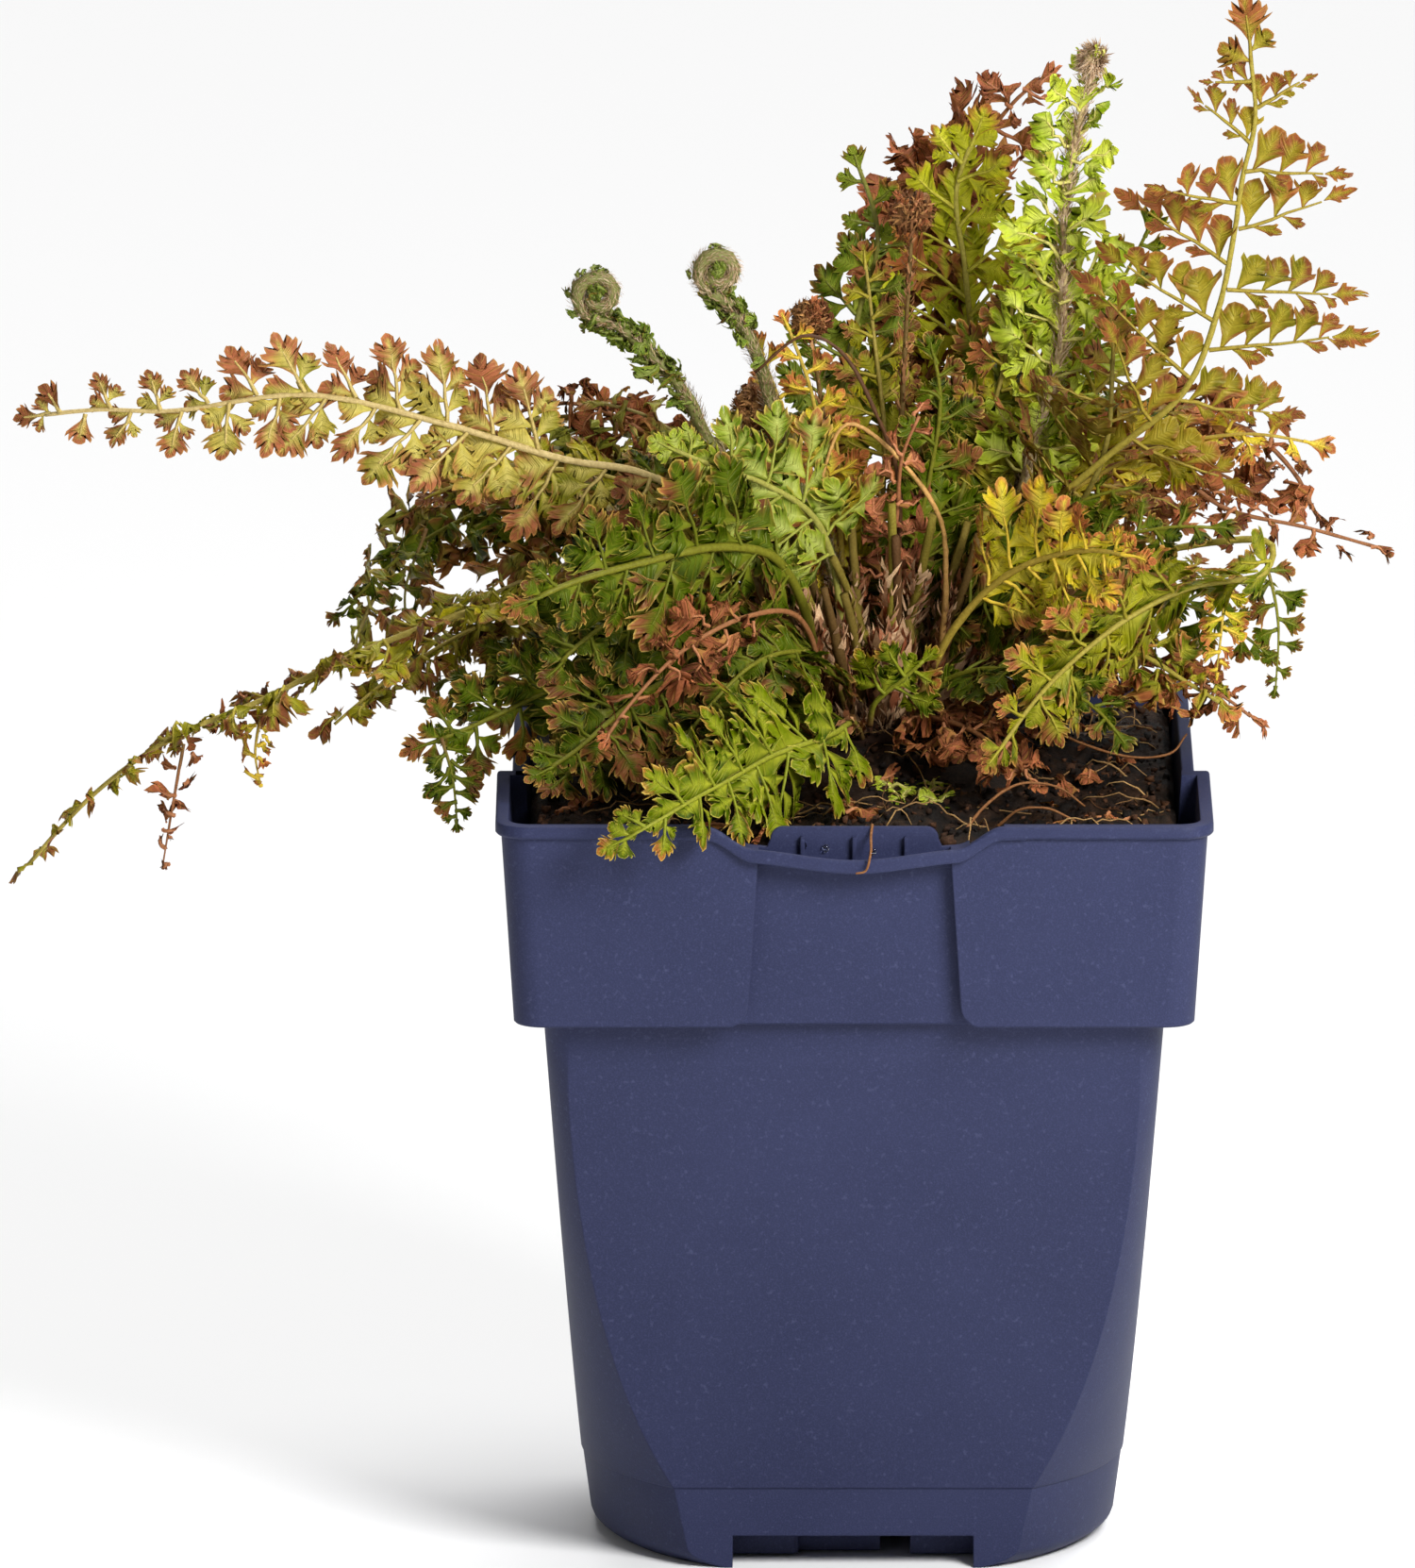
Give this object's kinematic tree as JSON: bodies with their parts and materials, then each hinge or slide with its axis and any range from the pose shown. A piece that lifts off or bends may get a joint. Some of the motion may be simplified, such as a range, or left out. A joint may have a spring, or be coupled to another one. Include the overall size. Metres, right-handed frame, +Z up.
{
  "type": "potted fern",
  "caption": "Lace-leaved fern with arching green, olive and dried fronds and young curled fronds, in a square plastic nursery pot of peat.",
  "frame": {"origin": "on the surface that the pot stands on, on the pot's upright axis", "axes": "+Z up; -Y is the front, the side that the picture shows; +X to the right of it"},
  "size_m": [0.2522, 0.1926, 0.284],
  "materials": {
    "pot": "navy blue moulded plastic, finely grained and matt",
    "peat": "moist black-brown peat with fibres",
    "rootstock": "woody, covered in brown papery scales",
    "green_leaf": "leathery, half glossy, mid green with pale veins",
    "lime_leaf": "fresh yellow-green, half glossy",
    "olive_leaf": "olive green turning brown at the tips",
    "gold_leaf": "olive gold with green veins and brown tips",
    "dark_leaf": "dark green, curled, half glossy",
    "dry_leaf": "dead, crumpled, red-brown and matt",
    "scaly_crozier": "green under silvery tan scales",
    "dead_stalk": "dry dark brown stalk",
    "straw_stalk": "dry straw-coloured stalk"
  },
  "bodies": {
    "root": {"pot": "pot", "peat": "peat", "rootstock": "rootstock", "frond_golden_left": "gold_leaf", "frond_long_low_left": "olive_leaf", "frond_crumpled_left": "dark_leaf", "frond_dry_top_left": "dry_leaf", "frond_over_left_edge": "green_leaf", "frond_low_left": "green_leaf", "frond_left_middle": "green_leaf", "frond_front": "lime_leaf", "frond_thick_left": "olive_leaf", "frond_pale_left": "green_leaf", "frond_dead_small_left": "dry_leaf", "crozier_left": "scaly_crozier", "crozier_middle": "scaly_crozier", "frond_unfurling": "lime_leaf", "frond_tall_right": "olive_leaf", "frond_back_middle": "olive_leaf", "frond_back_dry_top": "dry_leaf", "frond_dark_upright": "dark_leaf", "frond_dead_right": "dry_leaf", "frond_dead_far_right": "dry_leaf", "frond_broken_right": "green_leaf", "frond_bright_right": "olive_leaf", "frond_dark_right": "dark_leaf", "frond_low_right": "dry_leaf", "frond_behind_1": "green_leaf", "frond_behind_2": "olive_leaf", "frond_behind_3": "green_leaf", "frond_behind_4": "olive_leaf", "young_curl_left": "scaly_crozier", "young_curl_middle": "scaly_crozier", "young_curl_right": "scaly_crozier", "dead_stalk_dark": "dead_stalk", "dead_stalk_straw": "straw_stalk"}
  },
  "joints": []
}
